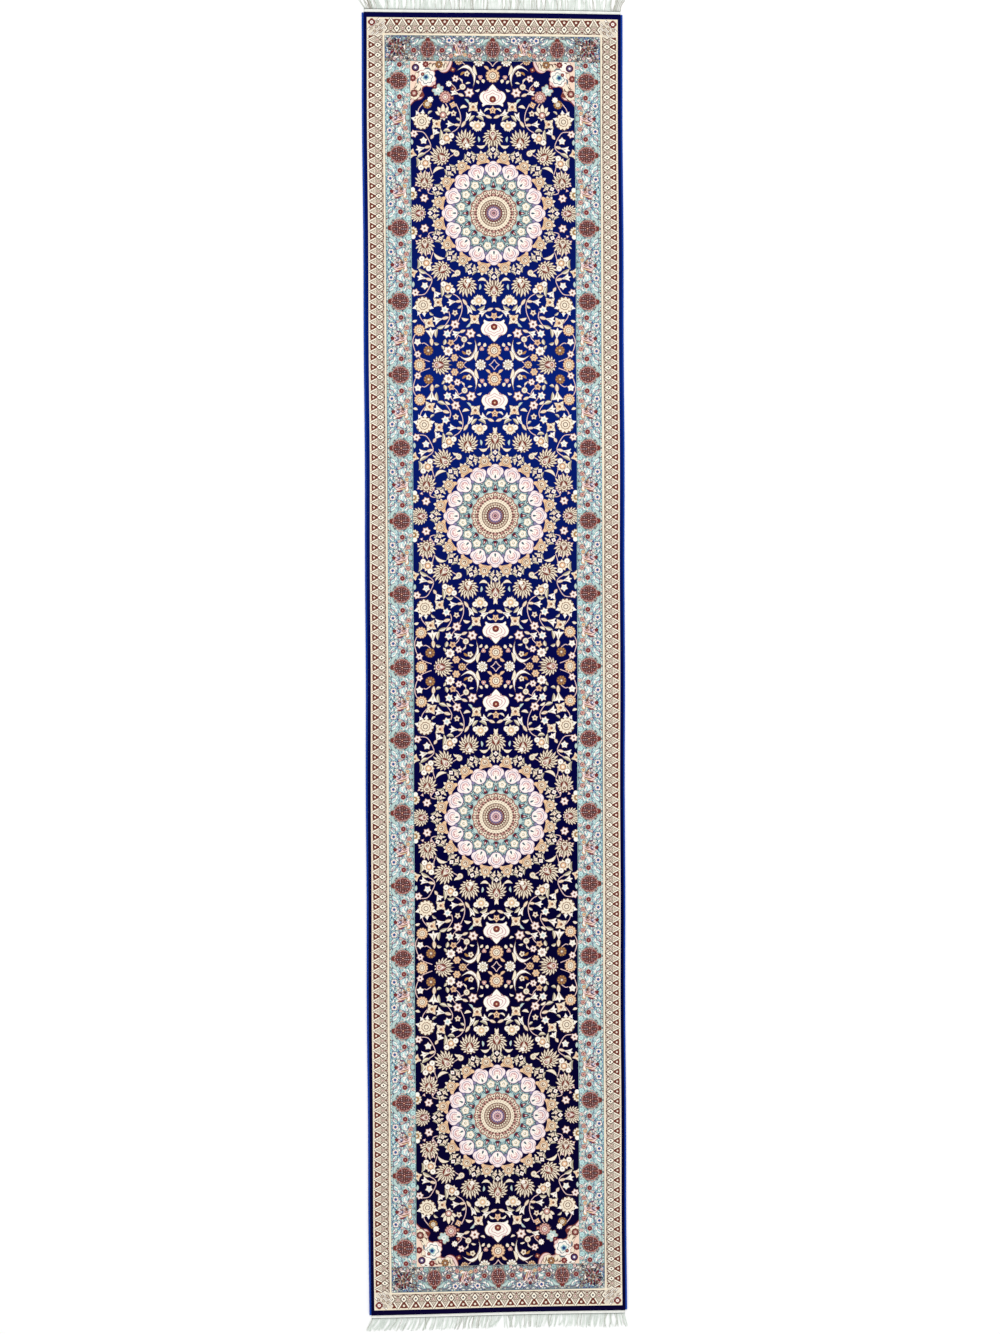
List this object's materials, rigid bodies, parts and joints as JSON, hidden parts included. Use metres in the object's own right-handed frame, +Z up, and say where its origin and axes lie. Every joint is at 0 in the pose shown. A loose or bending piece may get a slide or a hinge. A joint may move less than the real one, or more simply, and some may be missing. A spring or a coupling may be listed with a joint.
{
  "type": "runner rug",
  "caption": "Long narrow cut-pile runner rug with a medallion field, floral borders, overcast side selvedges and a warp fringe at each end; lies flat on a floor.",
  "frame": {"origin": "middle of the rug on its underside", "axes": "+X across the rug to its right side, +Y along it to the head end, +Z up out of the pile"},
  "size_m": [0.8, 4.1132, 0.009],
  "materials": {
    "ground_cotton": "undyed cotton warp and weft, plain weave, matt",
    "edge_band_yarn": "navy cut pile with a soft sheen",
    "guard_border_yarn": "cream cut pile with rust and pink motifs",
    "main_border_yarn": "light blue cut pile with floral motifs",
    "field_yarn": "deep blue cut pile with floral motifs and sheen",
    "selvedge_yarn": "navy wool wound round the edge cord",
    "warp_cotton": "off-white cotton, matt",
    "stitch_yarn": "grey-brown cotton locking stitch"
  },
  "bodies": {
    "root": {"ground_weave": "ground_cotton", "edge_band_pile": "edge_band_yarn", "guard_border_pile": "guard_border_yarn", "main_border_pile": "main_border_yarn", "field_pile": "field_yarn", "left_selvedge_core": "warp_cotton", "left_selvedge_overcast": "selvedge_yarn", "right_selvedge_core": "warp_cotton", "right_selvedge_overcast": "selvedge_yarn", "head_kilim_web": "warp_cotton", "head_lock_stitch": "stitch_yarn", "head_fringe": "warp_cotton", "foot_kilim_web": "warp_cotton", "foot_lock_stitch": "stitch_yarn", "foot_fringe": "warp_cotton"}
  },
  "joints": []
}
